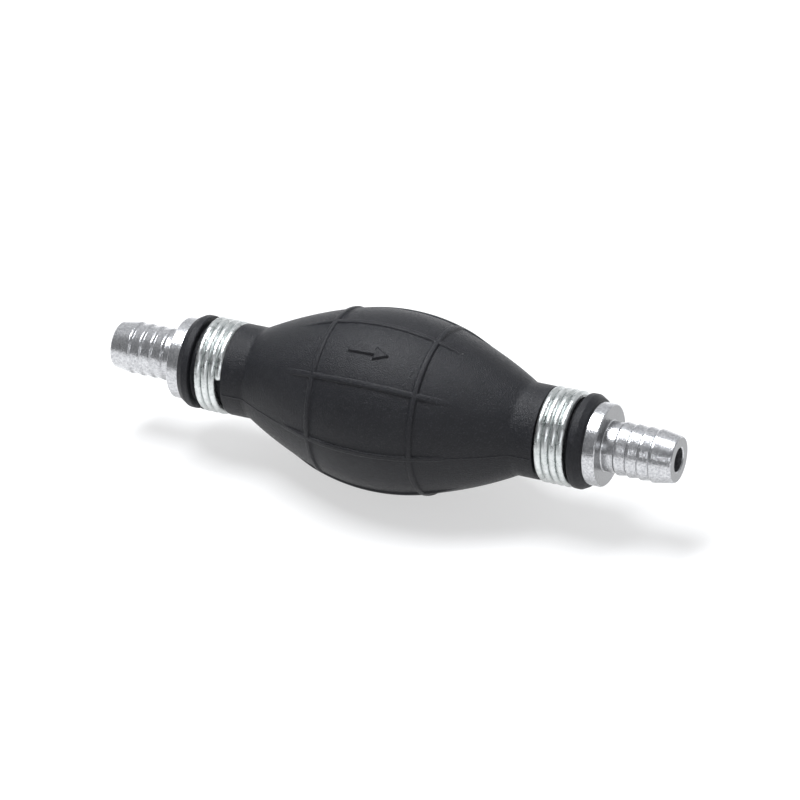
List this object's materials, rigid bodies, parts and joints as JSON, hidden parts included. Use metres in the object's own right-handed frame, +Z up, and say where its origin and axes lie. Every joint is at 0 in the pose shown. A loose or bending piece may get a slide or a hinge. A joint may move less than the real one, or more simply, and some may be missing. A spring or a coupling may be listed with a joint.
{
  "type": "siphon bulb pump",
  "caption": "In-line hand-squeezed siphon and primer pump: a ribbed rubber bulb wired onto two barbed aluminium hose tails, each with a spring-loaded check valve.",
  "frame": {"origin": "centre of the bulb on the flow axis, which is the centre of the whole pump's box", "axes": "+X along the flow from the inlet to the outlet, as the moulded arrow points; +Z up, square to the bulb's mould parting plane; +Y completes the frame"},
  "size_m": [0.158, 0.0478, 0.0478],
  "materials": {
    "bulb_rubber": "matte moulded rubber with a fine grain",
    "turned_aluminium": "bright turned, unanodised",
    "galvanised_wire": "drawn and galvanised",
    "seat_brass": "turned",
    "nitrile": "moulded, smooth",
    "acetal": "moulded, natural",
    "spring_steel": "drawn stainless wire",
    "blackened_steel": "phosphated spring steel"
  },
  "bodies": {
    "pump_body": {"bulb_shell": "bulb_rubber", "inlet_hose_tail": "turned_aluminium", "inlet_binding_wire": "galvanised_wire", "inlet_valve_seat": "seat_brass", "inlet_seat_o_ring": "nitrile", "inlet_valve_spring": "spring_steel", "inlet_spring_guide": "acetal", "inlet_retaining_ring": "blackened_steel", "outlet_hose_tail": "turned_aluminium", "outlet_binding_wire": "galvanised_wire", "outlet_valve_seat": "seat_brass", "outlet_seat_o_ring": "nitrile", "outlet_valve_spring": "spring_steel", "outlet_spring_guide": "acetal", "outlet_retaining_ring": "blackened_steel"},
    "upper_wall": {"upper_squeeze_wall": "bulb_rubber"},
    "lower_wall": {"lower_squeeze_wall": "bulb_rubber"},
    "inlet_poppet": {"inlet_valve_poppet": "acetal", "inlet_poppet_seal": "nitrile"},
    "outlet_poppet": {"outlet_valve_poppet": "acetal", "outlet_poppet_seal": "nitrile"}
  },
  "joints": [
    {"name": "squeeze_upper", "type": "slide", "parent": "pump_body", "child": "upper_wall", "axis": [0, 0, -1], "range_m": [0, 0.008], "stiffness_N_per_m": 2500},
    {"name": "squeeze_lower", "type": "slide", "parent": "pump_body", "child": "lower_wall", "axis": [0, 0, 1], "range_m": [0, 0.008], "stiffness_N_per_m": 2500},
    {"name": "inlet_valve_lift", "type": "slide", "parent": "pump_body", "child": "inlet_poppet", "axis": [1, 0, 0], "range_m": [0, 0.002], "stiffness_N_per_m": 100, "springref_m": -0.003, "deforming": ["inlet_valve_spring"]},
    {"name": "outlet_valve_lift", "type": "slide", "parent": "pump_body", "child": "outlet_poppet", "axis": [1, 0, 0], "range_m": [0, 0.002], "stiffness_N_per_m": 100, "springref_m": -0.003, "deforming": ["outlet_valve_spring"]}
  ],
  "couplings": [
    {"joint": "squeeze_lower", "follows": "squeeze_upper", "ratio": 1}
  ]
}
